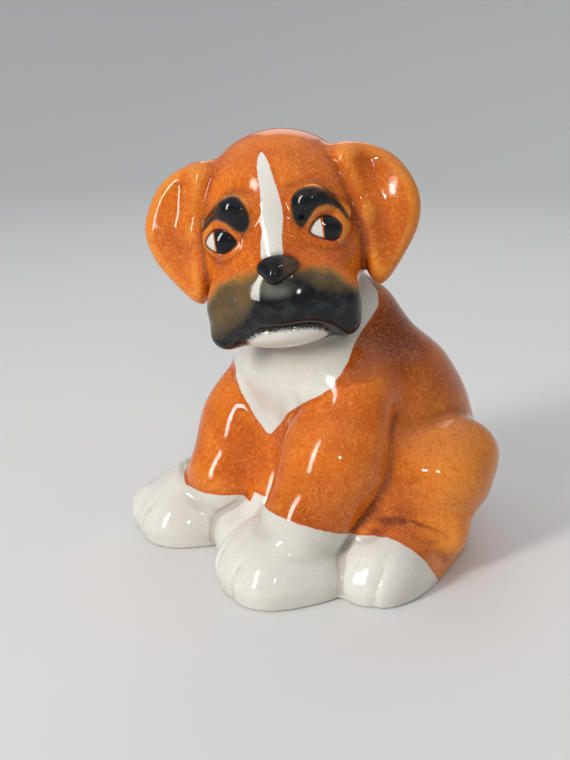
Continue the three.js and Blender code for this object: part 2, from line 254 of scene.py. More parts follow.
def left_forepaw(points):
    return paw(points, FOREPAW_ROWS, (27.3, -21, 0), -12, 28, 7.2)


def right_forepaw(points):
    form = paw(points, FOREPAW_ROWS, (-32, -22, 0), -21, 28, 7.2)
    return blend_in(form, egg(points, (-52.5, -54.5, 8), (10, 10, 10)), 5)


def hindpaw(points):
    return paw(points, HINDPAW_ROWS, (28, 24, 0), 25, 44, 6.6)


CREASE_DEPTH = 0.5
CREASE_WIDTH = 0.8


def haunch(points):
    """The thigh, with a creased fold in front of the hock."""
    turn = turn_z(math.radians(20))
    thigh = egg(points, (42.5, 17.5, 37.5), (20.8, 24, 20.3), turn)
    hip = egg(points, (40.5, 27, 43.5), (17, 16, 12.5), turn)
    flank = egg(points, (34, -5, 36), (17.5, 18, 26))
    hock = limb(points, (40, -17, 20.5), (52.5, 11, 17), 10, 9.6)
    form = blend_in(blend_in(thigh, hip, 6), flank, 8)
    form = blend_in(form, hock, 3.4 + 6 * np.clip((points[:, 1] + 4) / 12, 0, 1))
    ring = np.abs(np.hypot((points[:, 1] + 9 + 0.2 * (points[:, 2] - 24)) / 13,
                           (points[:, 2] - 23 + 0.25 * (points[:, 1] + 9)) / 3.2) - 1) * 3.2
    return form + CREASE_DEPTH * np.exp(-(ring / CREASE_WIDTH) ** 2) * (points[:, 0] > 42)


# Head
EAR_OUTLINE = closed_curve([(17, 25), (30, 26.5), (41, 22), (47.5, 14.5), (51, 5), (49.5, -5), (43.5, -15),
                            (36.5, -23), (32, -24), (29.5, -14), (27.5, 0), (23, 14)])


def ear(points):
    x, y, z = points.T
    flat = outline_distance(x, z, EAR_OUTLINE)
    sweep = -3.0 * np.clip((20 - z) / 15, 0, 1) + 0.006 * np.maximum(x - 32, 0) ** 2
    half_thick, round_edge = 4.5, 4.0
    side = np.abs(y - sweep) - half_thick
    out = np.hypot(np.maximum(flat + round_edge, 0), np.maximum(side + round_edge, 0))
    slab = out + np.minimum(np.maximum(flat, side) + round_edge, 0) - round_edge
    fold = blend_in(limb(points, (26, -4.5, 21), (30.5, -6.6, 2), 5, 3.4),
                    limb(points, (30.5, -6.6, 2), (33, -6.4, -19), 3.4, 2.4), 4)
    return blend_in(slab, fold, 5)


def skull(points):
    crown = egg(points, (0, 4, 6), (30, 26.5, 29))
    cheeks = egg(points, (0, 0, -12), (29.5, 23, 21))
    return blend_in(crown, cheeks, 14)


def muzzle(points):
    both = points.copy()
    both[:, 0] = np.maximum(-points[:, 0], points[:, 0] * 1.08)
    bridge = limb(points, (0, -14, 4), (0, -19, -14), 11, 13)
    lip = egg(both, (12, -15, -20.5), (14.3, 14.6, 15.5))
    corner = limb(both, (20.5, -20, -26), (22.3, -19, -33.6), 6.5, 5.0)
    back = egg(both, (15, -12, -26), (11, 14, 12))
    form = blend_in(lip, blend_in(corner, back, 8), 8)
    middle = egg(points, (0, -20, -24), (17.5, 14.6, 11.5))
    form = blend_in(blend_in(bridge, form, 7), middle, 5)
    form = blend_in(form, egg(points, (-23.4, -19.5, -34), (4.8, 5.4, 4.8)), 3)
    arch = egg(points, (0.5, -36, -41.5), (22.5, 24, 10.8))
    form = carve(form, arch, 2.0)
    groove = np.exp(-(points[:, 0] / 2.2) ** 2) * np.clip((-14 - points[:, 2]) / 4, 0, 1)
    return form + 0.5 * groove * np.clip((points[:, 2] + 27) / 6, 0, 1) * (points[:, 1] < -20)


def chin(points):
    return egg(points, (-1.5, -15, -34), (19.5, 14.8, 7.6))


def brow(points):
    bump = egg(points, (13, -21.5, 9), (6.5, 4.6, 6.2), turn_z(math.radians(20)))
    arc = limb(points, (15, -21.5, 11), (24.5, -14.5, 4), 3.4, 2.0)
    return blend_in(bump, arc, 3)


EYE = closed_curve([(12.2, -0.7), (14.4, 2.9), (17.4, 4.2), (20.6, 3.0), (22.9, 0.1), (22.4, -2.7),
                    (20.1, -4.7), (15.7, -3.2)])
RIGHT_EYE = closed_curve([(-25.4, -0.4), (-23.1, 2.8), (-20.4, 4), (-17.1, 3.1), (-14.1, -0.4), (-15.3, -2.7),
                          (-19.5, -4.5), (-23.3, -3)])
RIGHT_EYE_SHIFT = 1.6
LID_RAISE, LID_WIDTH = 0.35, 0.45
LID_HOLLOW, HOLLOW_WIDTH, HOLLOW_PLACE = 0.2, 1.2, 1.5


def eyeball(points):
    return egg(points, (18.1, -17.3, -0.5), (7.6, 5.8, 5.8), turn_z(math.radians(30)))


def nose(points):
    top = egg(points, (0.6, -33.2, -9.7), (7.3, 4.7, 4.1))
    tip = egg(points, (-0.6, -34.6, -12), (4.0, 4.8, 3.8))
    return blend_in(top, tip, 1.2)


PIECES = ("body", "tail", "head", "nose", "left_ear", "right_ear", "left_foreleg", "right_foreleg",
          "left_forepaw", "right_forepaw", "left_haunch", "right_haunch", "left_hindpaw", "right_hindpaw")
RIGHT_LEG_INSET = np.array([5.0, 0, 0])
HAND_WAVE = 0.22
BASE_ROUND = 1.6


def whole_head(points):
    both = points.copy()
    both[:, 0] = np.abs(both[:, 0])
    form = blend_in(skull(points), muzzle(points), 5)
    form = blend_in(form, chin(points), 1.4)
    form = blend_in(form, brow(both), 3.5)
    form = blend_in(form, eyeball(both - (points[:, :1] < 0) * np.array([RIGHT_EYE_SHIFT, 0, 0])), 3)
    rim = np.where(points[:, 0] > 0, outline_distance(points[:, 0], points[:, 2], EYE),
                   outline_distance(points[:, 0], points[:, 2], RIGHT_EYE))
    facing = (points[:, 1] < -8) & (points[:, 2] > -12) & (points[:, 2] < 12)
    lids = LID_RAISE * np.exp(-(rim / LID_WIDTH) ** 2)
    lids = lids - LID_HOLLOW * np.exp(-((rim - HOLLOW_PLACE) / HOLLOW_WIDTH) ** 2)
    return form + lids * facing


def clay(points):
    """Distance to the whole figure, and a table with the distance to each piece."""
    mirror = flipped(points)
    inset = flipped(points - RIGHT_LEG_INSET)
    local = head_space(points)
    part = {
        "body": only_near(points, (-46, -60, -5), (46, 62, 118), torso),
        "tail": only_near(points, (-10, 40, 0), (10, 72, 24), tail),
        "head": only_near(local, (-32, -38, -42), (32, 32, 37), whole_head),
        "nose": only_near(local, (-10, -42, -18), (10, -25, -2), nose),
        "left_ear": only_near(local, (15, -12, -26), (54, 10, 30), ear),
        "right_ear": only_near(flipped(local), (15, -12, -26), (54, 10, 30), ear),
        "left_foreleg": only_near(points, (8, -55, 8), (50, 6, 90), foreleg),
        "right_foreleg": only_near(inset, (8, -55, 8), (50, 6, 90), foreleg),
        "left_forepaw": only_near(points, (0, -72, 0), (52, -15, 32), left_forepaw),
        "right_forepaw": only_near(points, (-72, -72, 0), (-10, -12, 32), right_forepaw),
        "left_haunch": only_near(points, (10, -28, 0), (68, 50, 58), haunch),
        "right_haunch": only_near(mirror, (10, -28, 0), (68, 50, 58), haunch),
        "left_hindpaw": only_near(points, (0, -45, 0), (75, 50, 28), hindpaw),
        "right_hindpaw": only_near(mirror, (0, -45, 0), (75, 50, 28), hindpaw),
    }
    x, y, z = points.T
    # The blends widen low at the seat, at the shoulders and between the forelegs
    seat = 3.6 + 7 * np.clip(y / 12, 0, 1) * np.clip((27 - z) / 8, 0, 1)
    inner = np.clip((-16 - y) / 9, 0, 1) * np.clip((z - 20) / 8, 0, 1)
    inner = inner * np.clip((24 - np.abs(x + 2)) / 6, 0, 1)
    shoulder = 1.7 + 7 * np.maximum(np.clip((z - 62) / 20, 0, 1), 0.8 * inner)
    form = blend_in(part["body"], part["tail"], 8)
    for side in ("left", "right"):
        form = blend_in(form, blend_in(part[side + "_haunch"], part[side + "_hindpaw"], 2.5), seat)
        form = blend_in(form, blend_in(part[side + "_foreleg"], part[side + "_forepaw"], 5), shoulder)
    form = blend_in(form, part["head"], 3)
    form = blend_in(form, part["left_ear"], 2.6)
    form = blend_in(form, part["right_ear"], 2.6)
    form = blend_in(form, part["nose"], 0.8)
    wave = np.sin(x * 0.23 + 1) * np.sin(y * 0.19 + 2) * np.sin(z * 0.21)
    return carve(form + HAND_WAVE * wave, z, BASE_ROUND), part


# The skin is the clay's surface as triangles, finer at the face. Its first grid is coarse away from the clay.

GRID_LOW = np.array([-73.0, -74.0, -3.0])
GRID_HIGH = np.array([73.0, 76.0, 169.0])
CELL = 1.0
COARSE = 4
SEAM_SNAP = 0.12


def raw_skin():
    size = np.ceil((GRID_HIGH - GRID_LOW) / (CELL * COARSE)).astype(int)
    axes = [GRID_LOW[i] + CELL * (COARSE * np.arange(size[i]) + (COARSE - 1) / 2) for i in range(3)]
    blocks = np.stack(np.meshgrid(*axes, indexing="ij"), -1).reshape(-1, 3)
    rough = clay(blocks)[0].reshape(size)
    field = rough.repeat(COARSE, 0).repeat(COARSE, 1).repeat(COARSE, 2)
    close = np.argwhere(np.abs(field) < CELL * COARSE * 1.3)
    field[tuple(close.T)] = clay(GRID_LOW + CELL * close)[0]
    grid = openvdb.FloatGrid(20.0)
    grid.copyFromArray(field.astype(np.float32))
    points, _, quads = grid.convertToPolygons(0.0, 0.0)
    points = np.array(points, float) * CELL + GRID_LOW
    quads = np.array(quads, int)
    return points, np.vstack([quads[:, [0, 1, 2]], quads[:, [0, 2, 3]]])


def slope_at(points, step=0.12):
    slope = np.empty_like(points)
    for axis in range(3):
        move = np.zeros(3)
        move[axis] = step
        slope[:, axis] = (clay(points + move)[0] - clay(points - move)[0]) / (2 * step)
    return slope


def roundness_at(points, step=2.2):
    """How convex the clay is, negative in hollows and creases."""
    total = -6 * clay(points)[0]
    for axis in range(3):
        move = np.zeros(3)
        move[axis] = step
        total += clay(points + move)[0] + clay(points - move)[0]
    return total / step


def onto_clay(points):
    """Moves points on to the clay's surface."""
    value, slope = clay(points)[0], slope_at(points)
    step = value / np.maximum((slope ** 2).sum(1), 0.25)
    return points - slope * step.clip(-0.6, 0.6)[:, None]


def edges_of(faces):
    """Every edge once, and the three edges of each triangle."""
    ends = np.sort(np.vstack([faces[:, [0, 1]], faces[:, [1, 2]], faces[:, [2, 0]]]), axis=1)
    edges, index = np.unique(ends, axis=0, return_inverse=True)
    return edges, index.reshape(3, -1).T


def divide(faces, index, middle):
    """Splits triangles at their marked edges, where middle is the new point on each edge or -1."""
    new = middle[index]
    count = (new >= 0).sum(1)
    made = [faces[count == 0]]
    for turned in range(3):
        f, m = np.roll(faces, -turned, axis=1), np.roll(new, -turned, axis=1)
        one = (count == 1) & (m[:, 0] >= 0)
        a, b, c = f[one].T
        ab = m[one, 0]
        made += [np.stack([a, ab, c], 1), np.stack([ab, b, c], 1)]
        two = (count == 2) & (m[:, 2] < 0)
        a, b, c = f[two].T
        ab, bc = m[two, 0], m[two, 1]
        made += [np.stack([ab, b, bc], 1), np.stack([a, ab, bc], 1), np.stack([a, bc, c], 1)]
    a, b, c = faces[count == 3].T
    ab, bc, ca = new[count == 3].T
    made += [np.stack(corners, 1) for corners in ((a, ab, ca), (ab, b, bc), (ca, bc, c), (ab, bc, ca))]
    return np.vstack(made)


def refine(points, faces, wanted):
    """Splits the wanted triangles into four each."""
    touched = np.zeros(len(points), bool)
    touched[faces[wanted]] = True
    near = touched[faces].sum(axis=1) >= 2
    edges, index = edges_of(faces[near])
    marked = np.zeros(len(edges), bool)
    marked[index[wanted[near]].ravel()] = True
    middle = np.full(len(edges), -1)
    middle[marked] = len(points) + np.arange(marked.sum())
    fresh = onto_clay(points[edges[marked]].mean(axis=1))
    return np.vstack([points, fresh]), np.vstack([faces[~near], divide(faces[near], index, middle)])


def on_face(points, faces):
    x, y, z = head_space(points[faces].mean(axis=1)).T
    return (y < -10) & (y > -45) & (np.abs(x) < 30) & (z < 20) & (z > -42)


def on_features(points, faces):
    x, y, z = head_space(points[faces].mean(axis=1)).T
    eyes = (np.abs(outline_distance(np.abs(x) - 0.8, z, EYE)) < 3.4) & (y < -8)
    mouth = (np.abs(x) < 24) & (z < -25) & (z > -40) & (y < -18)
    nose_pad = (np.abs(x) < 10) & (z < -2) & (z > -18) & (y < -26)
    return (eyes | mouth | nose_pad) & (y > -45)


def cut_along(points, faces, levels, level):
    """Splits the triangles where a level passes zero, and the rows of levels with them."""
    signs = np.sign(level)[faces]
    mixed = (signs.min(axis=1) < 0) & (signs.max(axis=1) > 0)
    edges, index = edges_of(faces[mixed])
    a, b = level[edges[:, 0]], level[edges[:, 1]]
    crossed = a * b < 0
    share = (a[crossed] / (a[crossed] - b[crossed]))[:, None]
    ends = edges[crossed]
    middle = np.full(len(edges), -1)
    middle[crossed] = len(points) + np.arange(crossed.sum())
    fresh = points[ends[:, 0]] * (1 - share) + points[ends[:, 1]] * share
    rows = levels[ends[:, 0]] * (1 - share) + levels[ends[:, 1]] * share
    faces = np.vstack([faces[~mixed], divide(faces[mixed], index, middle)])
    return np.vstack([points, fresh]), np.vstack([levels, rows]), faces


def group_of(triangles):
    """A number for each triangle, the same for all that hang together."""
    label = np.arange(triangles.max() + 1)
    while True:
        lower = label.copy()
        np.minimum.at(lower, triangles.ravel(), label[triangles].min(axis=1).repeat(3))
        lower = lower[lower]
        if (lower == label).all():
            return label[triangles[:, 0]]
        label = lower


def without_scraps(found):
    """Gives each loose scrap of a piece to the neighbour that it shares the most points with."""
    whole, scraps = {}, []
    for name, triangles in found.items():
        group = group_of(triangles)
        kinds, sizes = np.unique(group, return_counts=True)
        whole[name] = triangles[group == kinds[sizes.argmax()]]
        scraps += [triangles[group == kind] for kind in kinds[sizes < sizes.max()]]
    for scrap in sorted(scraps, key=len, reverse=True):
        shared = {name: np.isin(scrap, whole[name]).sum() for name in whole}
        heir = max(shared, key=shared.get)
        whole[heir] = np.vstack([whole[heir], scrap])
    return whole


def separate(points, faces):
    """Cuts the skin into the pieces. Returns the points, their levels and each piece's triangles."""
    part = clay(points)[1]
    levels = np.stack([part[name] for name in PIECES], 1)
    found = {}
    rest = list(range(len(PIECES)))
    for name in PIECES[1:]:
        i = PIECES.index(name)
        rest.remove(i)

        def ahead(rows):
            value = rows[:, i] - rows[:, rest].min(axis=1)
            value[np.abs(value) < SEAM_SNAP] = 0.0
            return value

        points, levels, faces = cut_along(points, faces, levels, ahead(levels))
        mine = ahead(levels)[faces].sum(axis=1) < 0
        found[name] = faces[mine]
        faces = faces[~mine]
    found[PIECES[0]] = faces
    return points, levels, without_scraps(found)


def closed(places, triangles):
    """Closes a piece where it meets its neighbours, and returns its places and the closing triangles."""
    ends = np.vstack([triangles[:, [0, 1]], triangles[:, [1, 2]], triangles[:, [2, 0]]])
    count = len(places)
    forward, backward = ends @ [count, 1], ends @ [1, count]
    follow = {}
    for a, b in ends[~np.isin(forward, backward)].tolist():
        follow.setdefault(b, []).append(a)
    middles, caps = [], []
    while follow:
        start = next(iter(follow))
        loop, at = [start], start
        while True:
            step = follow[at].pop()
            if not follow[at]:
                del follow[at]
            if step == start or step not in follow:
                break
            loop.append(step)
            at = step
        middle = count + len(middles)
        middles.append(places[loop].mean(axis=0))
        caps += [(a, b, middle) for a, b in zip(loop, loop[1:] + loop[:1])]
    return np.vstack([places] + [m[None] for m in middles]), np.array(caps, int).reshape(-1, 3)


# Painted zones, in millimetres, positive inside the paint. The face is painted in the head's frame.
BIB = closed_curve([(0, 50.6), (-6.6, 54.9), (-11.1, 60.8), (-16.7, 66.5), (-23.6, 72.5), (-34, 79),
                    (-40, 92), (-40, 122), (40, 122), (40, 88), (35.5, 79.5), (29.7, 73.1), (23.6, 69.4),
                    (13.7, 62.5), (5, 55)])
BIB_BACK = [(60, -20), (73, -26), (78.2, -27), (82.7, -22.6), (87, -16.9), (90.9, -11.7), (95.9, -5.8),
            (100.9, 0.2), (106, 2.5), (120, 3)]
BLAZE = closed_curve([(-2.2, 28), (-3.7, 24.8), (-3.7, 20), (-3.4, 14), (-3.6, 4), (-4.9, -2), (-5, -7),
                      (-1, -8), (2.3, -7), (2.7, -1), (3.8, 6.5), (3.3, 12), (1.6, 19), (0, 25)])
LEFT_BROW = closed_curve([(7, 9), (8, 12.5), (11, 14.4), (15.2, 14.4), (19.6, 12), (22.8, 8), (25.8, 1),
                          (23, 5.3), (19.5, 8), (15.5, 7.4), (12, 3.6), (9.8, 1.6), (7.6, 4)])
RIGHT_BROW = closed_curve([(-28.2, 2), (-26, 6.8), (-21.5, 11), (-17.5, 13.6), (-13.5, 15), (-10, 13.2),
                           (-8.2, 9), (-8.4, 4.8), (-10.4, 2.2), (-13.2, 3), (-16.3, 6.3), (-21.2, 7.4)])
SPRAY_EDGE = [(-32, -22), (-26.3, -17), (-22.7, -13), (-18.5, -11), (-12.9, -9.6), (-6, -9), (8, -10),
              (13, -10), (18, -11.5), (21.1, -14.5), (24.6, -19.7), (31, -27)]
MUZZLE_BLACK = [(-32, -38), (-26, -35.5), (-21.6, -34.3), (-15.2, -30.5), (-10.6, -26), (-7.1, -21.5),
                (-5, -18.6), (-1.6, -17.2), (5.3, -16.6), (10.2, -19), (14.4, -22.4), (18.9, -23.8),
                (22.8, -23.5), (31, -28)]
FOREPAW_PAINT = 32.6
FAR_PAW_PAINT = 24.3
HINDPAW_EDGE = [(-40, 23), (-20.7, 22.9), (-17.3, 22.6), (-14.8, 21.2), (-11.5, 18.6), (-7.1, 14.1),
                (-2.9, 8.5), (3.4, 1.7), (9, -4)]


def ease(value, low, high):
    share = np.clip((value - low) / (high - low), 0, 1)
    return share * share * (3 - 2 * share)


def paint(points, levels):
    owner = levels.argmin(axis=1)

    def of(*names):
        return np.isin(owner, [PIECES.index(name) for name in names])

    x, y, z = points.T
    local = head_space(points)
    u, ahead, v = local[:, 0], -local[:, 1] - 8, local[:, 2]
    in_head = of("head")
    left_eye = np.minimum(-outline_distance(u, v, EYE), ahead)
    right_eye = np.minimum(-outline_distance(u, v, RIGHT_EYE), ahead)
    eyes = np.maximum(left_eye, right_eye)
    left_white = np.minimum(left_eye, 16.5 - u - 0.02 * (v + 0.5) ** 2)
    right_white = np.minimum(right_eye, -21.8 - u - 0.02 * (v + 0.5) ** 2)
    left_pupil = np.minimum(left_eye, u - 17.0)
    right_pupil = np.minimum(right_eye, u + 21.4)
    left_brow = -outline_distance(u, v, LEFT_BROW)
    right_brow = -outline_distance(u, v, RIGHT_BROW)
    blaze = np.minimum(-outline_distance(u, v, BLAZE), ahead)
    over_chin = muzzle(local) - chin(local)
    jaw = np.where(in_head & (v < -22), over_chin, -9)
    bib = np.minimum(-outline_distance(x, z, BIB), np.interp(z, *np.array(BIB_BACK).T) - y)
    under_head = levels[:, PIECES.index("head")] - levels[:, PIECES.index("body")]
    bib = np.where(of("body", "left_foreleg", "right_foreleg"), np.minimum(bib, under_head + 0.2), -9)
    leg, foot = (levels[:, PIECES.index("right_" + name)] for name in ("foreleg", "forepaw"))
    far = np.maximum(FAR_PAW_PAINT - z, np.minimum(leg - foot, 9))
    fore = np.where(x > 0, FOREPAW_PAINT - 0.38 * (y + 51.5) - z, far)
    fore = np.where(of("left_foreleg", "right_foreleg", "left_forepaw", "right_forepaw", "body"), fore, -9)
    fore = np.where((np.abs(x) > 18) & of("body"), -9, np.minimum(fore, -16 - y))
    hind = np.interp(y, *np.array(HINDPAW_EDGE).T) - z
    hind = np.where(of("left_hindpaw", "right_hindpaw", "left_haunch", "right_haunch"), hind, -9)
    # Painted shade: darker on the body and bib just under the head, and in a patch at each side of the neck.
    head_shade = np.maximum(ease(under_head, 21, 1), ease(np.hypot((y - 5) / 21, (z - 91) / 17), 1.2, 0.35))
    on_head = of("head", "nose")
    spray = np.interp(u, *np.array(SPRAY_EDGE).T) - v
    black = np.interp(u, *np.array(MUZZLE_BLACK).T) - v
    dark = 0.5 * ease(spray, -2, 6) + 0.5 * ease(black, -7, 4)
    face = ease(ahead, -6, 2)
    return {
        "white": np.maximum.reduce([left_white, right_white, blaze, jaw, bib, fore, hind]),
        "brow": np.where(in_head, np.minimum(np.maximum(left_brow, right_brow), ahead), -9),
        "pupil": np.where(of("nose"), 9, np.maximum(left_pupil, right_pupil)),
        "rim": np.where(in_head, 0.35 - np.abs(eyes), -9),
        "spray": np.where(in_head, dark * face, 0),
        "lip": np.where(in_head & (over_chin > -0.2), over_chin, 9),
        "mist": np.where(in_head, ease(1.3 - np.hypot((u + 1.2) / 6.5, (v + 17.2) / 3.4), 0, 1), 0),
        "head_shade": np.where(of("body", "left_foreleg", "right_foreleg"), head_shade, 0),
        "brown": np.where(on_head, ease(u, 1.2, 4.5), 0),
    }


points, faces = raw_skin()
points = onto_clay(onto_clay(points))
points, faces = refine(points, faces, on_face(points, faces))
points, faces = refine(points, faces, on_features(points, faces))
points, levels, found = separate(points, faces)
slope = slope_at(points)
normals = slope / np.linalg.norm(slope, axis=1)[:, None]
zones = paint(points, levels)
zones["round"] = roundness_at(points)

# Glaze effects, shared by the three finishes


def add(tree, kind, inputs=None, **settings):
    node = tree.nodes.new("ShaderNode" + kind)
    for key, value in settings.items():
        setattr(node, key, value)
    for key, value in (inputs or {}).items():
        if isinstance(value, bpy.types.NodeSocket):
            tree.links.new(value, node.inputs[key])
        else:
            node.inputs[key].default_value = value
    return node


def calc(tree, operation, *values):
    return add(tree, "Math", dict(enumerate(values)), operation=operation).outputs[0]


def blend(tree, factor, below, above):
    return add(tree, "Mix", {"Factor": factor, "A": below, "B": above}, data_type="RGBA").outputs["Result"]


def remap(tree, value, low, high, new_low=0.0, new_high=1.0):
    limits = {"Value": value, "From Min": low, "From Max": high, "To Min": new_low, "To Max": new_high}
    return add(tree, "MapRange", limits, interpolation_type="SMOOTHSTEP").outputs[0]


def group(name, inputs, outputs):
    """A node group with named sockets, what its inputs give inside it, and its output node."""
    tree = bpy.data.node_groups.new(name, "ShaderNodeTree")
    for label, value in inputs.items():
        socket = tree.interface.new_socket(name=label, in_out="INPUT", socket_type="NodeSocketFloat")
        socket.default_value = value
    for label in outputs:
        kind = "NodeSocketColor" if label == "Color" else "NodeSocketFloat"
        tree.interface.new_socket(name=label, in_out="OUTPUT", socket_type=kind)
    return tree, tree.nodes.new("NodeGroupInput").outputs, tree.nodes.new("NodeGroupOutput")


def use(tree, made, **inputs):
    node = tree.nodes.new("ShaderNodeGroup")
    node.node_tree = made
    for key, value in inputs.items():
        if isinstance(value, bpy.types.NodeSocket):
            tree.links.new(value, node.inputs[key])
        else:
            node.inputs[key].default_value = value
    return node.outputs


def place(tree):
    """The place on the figure in millimetres."""
    where = add(tree, "TexCoord").outputs["Object"]
    return add(tree, "VectorMath", {0: where, "Scale": 1000.0}, operation="SCALE").outputs[0]


def noise(tree, where, size, detail=2.0, rough=0.5):
    settings = {"Vector": where, "Scale": 1 / size, "Detail": detail, "Roughness": rough}
    return add(tree, "TexNoise", settings).outputs["Fac"]


def shifted(tree, where, drift, reach):
    """The place moved by a noise colour, up to reach along each axis."""
    moves = {0: drift, 1: (reach, reach, reach), 2: where}
    return add(tree, "VectorMath", moves, operation="MULTIPLY_ADD").outputs[0]


def attribute(tree, name):
    return add(tree, "Attribute", attribute_name=name).outputs["Fac"]


def make_crackle():
    """Fine lines where the glaze has cracked into small plates."""
    tree, given, out = group("glaze_crackle", {"Plate": 4.0, "Line": 0.12}, ["Mask"])
    where = place(tree)
    drift = add(tree, "TexNoise", {"Vector": where, "Scale": 0.35, "Detail": 1.0}).outputs["Color"]
    moved = shifted(tree, where, drift, 2.4)
    scale = calc(tree, "DIVIDE", 1.0, given["Plate"])
    cells = add(tree, "TexVoronoi", {"Vector": moved, "Scale": scale}, feature="DISTANCE_TO_EDGE")
    width = calc(tree, "MULTIPLY", given["Line"], scale)
    line = calc(tree, "DIVIDE", cells.outputs["Distance"], width)
    depth = remap(tree, noise(tree, where, 9.0), 0.35, 0.65, 0.25, 1.0)
    mask = calc(tree, "MULTIPLY", remap(tree, line, 1.6, 0.4), depth)
    tree.links.new(mask, out.inputs["Mask"])
    return tree


def make_speckle():
    """Small grains in the glaze, thicker in some places."""
    tree, given, out = group("glaze_speckle", {"Spacing": 1.5, "Size": 0.4}, ["Mask"])
    where = place(tree)
    scale = calc(tree, "DIVIDE", 1.0, given["Spacing"])
    cells = add(tree, "TexVoronoi", {"Vector": where, "Scale": scale}, feature="F1")
    chance = add(tree, "SeparateColor", {"Color": cells.outputs["Color"]}).outputs["Red"]
    crowd = remap(tree, noise(tree, where, 14.0, 3.0), 0.36, 0.66, 0.12, 0.8)
    kept = calc(tree, "LESS_THAN", chance, crowd)
    radius = calc(tree, "DIVIDE", given["Size"], given["Spacing"])
    dot = remap(tree, calc(tree, "DIVIDE", cells.outputs["Distance"], radius), 1.1, 0.5)
    tree.links.new(calc(tree, "MULTIPLY", dot, kept), out.inputs["Mask"])
    return tree


def make_edge():
    """A painted edge, from a distance in millimetres, with a brush's wobble."""
    tree, given, out = group("painted_edge", {"Distance": 0.0, "Softness": 0.3, "Wobble": 0.3}, ["Mask"])
    where = place(tree)
    wave = calc(tree, "SUBTRACT", noise(tree, where, 2.6, 3.0), 0.5)
    moved = calc(tree, "MULTIPLY_ADD", wave, given["Wobble"], given["Distance"])
    share = calc(tree, "MULTIPLY_ADD", calc(tree, "DIVIDE", moved, given["Softness"]), 1.0, 0.5)
    tree.links.new(remap(tree, share, 0.0, 1.0), out.inputs["Mask"])
    return tree


def make_orange():
    """Orange glaze: lighter on ridges, darker in creases, feathered, with grains and faint crackle, with
    painted shade toward the back and under the head and painted light on the flanks.
    """
    tree, given, out = group("orange_glaze_color", {"Round": 0.0, "Neck": 0.0, "To White": -9.0}, ["Color"])
    where = place(tree)
    cloud = remap(tree, noise(tree, where, 17.0, 3.0, 0.55), 0.34, 0.66, 0.35, 1.0)
    body = blend(tree, cloud, ORANGE_DEEP, ORANGE)
    axes = add(tree, "SeparateXYZ", {0: where}).outputs
    # Painted shade, with deeper glaze: darker toward the back of the body, below the head.
    behind = calc(tree, "MULTIPLY_ADD", axes["Z"], 0.5, axes["Y"])
    below_head = remap(tree, axes["Z"], 124.0, 92.0)
    back = calc(tree, "MULTIPLY", remap(tree, behind, 8.0, 72.0, 0.0, 0.6), below_head)
    body = blend(tree, back, body, ORANGE_BACK_SHADE)
    # Painted light: paler orange on the flanks and haunches.
    side = remap(tree, calc(tree, "ABSOLUTE", axes["X"]), 14.0, 40.0, 0.0, 0.55)
    flank = calc(tree, "MULTIPLY", side, remap(tree, axes["Z"], 78.0, 46.0))
    flank = calc(tree, "MULTIPLY", flank, remap(tree, axes["Y"], -16.0, 8.0))
    body = blend(tree, flank, body, ORANGE_PALE_AND_PAINTED_LIGHT)
    ridge = calc(tree, "MULTIPLY", remap(tree, given["Round"], 0.05, 0.55), 0.6)
    body = blend(tree, ridge, body, ORANGE_PALE_AND_PAINTED_LIGHT)
    drift = add(tree, "TexNoise", {"Vector": where, "Scale": 0.09, "Detail": 2.0}).outputs["Color"]
    swept = shifted(tree, where, drift, 26.0)
    stretched = add(tree, "VectorMath", {0: swept, 1: (1.0, 1.0, 0.22)}, operation="MULTIPLY").outputs[0]
    feather = noise(tree, stretched, 1.15, 4.0, 0.65)
    body = blend(tree, remap(tree, feather, 0.50, 0.32, 0.0, 0.6), body, ORANGE_DEEP)
    body = blend(tree, remap(tree, feather, 0.52, 0.70, 0.0, 0.6), body, ORANGE_PALE_AND_PAINTED_LIGHT)
    crease = calc(tree, "MULTIPLY", remap(tree, given["Round"], 0.0, -0.9), 0.85)
    body = blend(tree, crease, body, ORANGE_CREASE_AND_SHADE)
    # Painted shade under the head.
    body = blend(tree, calc(tree, "MULTIPLY", given["Neck"], 0.85), body, ORANGE_CREASE_AND_SHADE)
    body = blend(tree, remap(tree, given["To White"], -2.4, -0.3, 0.0, 0.4), body, ORANGE_DEEP)
    net = calc(tree, "MULTIPLY", use(tree, crackle, Plate=2.4, Line=0.14)["Mask"], 0.14)
    body = blend(tree, net, body, ORANGE_GRAIN)
    grain = calc(tree, "MULTIPLY", use(tree, speckle, Spacing=0.95, Size=0.27)["Mask"], 0.55)
    body = blend(tree, grain, body, ORANGE_GRAIN)
    tree.links.new(body, out.inputs["Color"])
    return tree


def make_white():
    """White glaze with grey crackle."""
    tree, given, out = group("white_glaze_color", {"Round": 0.0, "Neck": 0.0}, ["Color"])
    where = place(tree)
    cloud = remap(tree, noise(tree, where, 18.0, 3.0), 0.3, 0.7)
    body = blend(tree, cloud, WHITE_GREY, WHITE)
    crease = calc(tree, "MULTIPLY", remap(tree, given["Round"], 0.0, -0.8), 0.9)
    body = blend(tree, crease, body, WHITE_CREASE_AND_SHADE)
    # Painted shade under the head, on the white bib.
    body = blend(tree, calc(tree, "MULTIPLY", given["Neck"], 0.6), body, WHITE_CREASE_AND_SHADE)
    wide = calc(tree, "MULTIPLY", use(tree, crackle, Plate=3.2, Line=0.09)["Mask"], 0.4)
    body = blend(tree, wide, body, CRACK)
    small = calc(tree, "MULTIPLY", use(tree, crackle, Plate=1.4, Line=0.08)["Mask"], 0.14)
    body = blend(tree, small, body, CRACK)
    tree.links.new(body, out.inputs["Color"])
    return tree


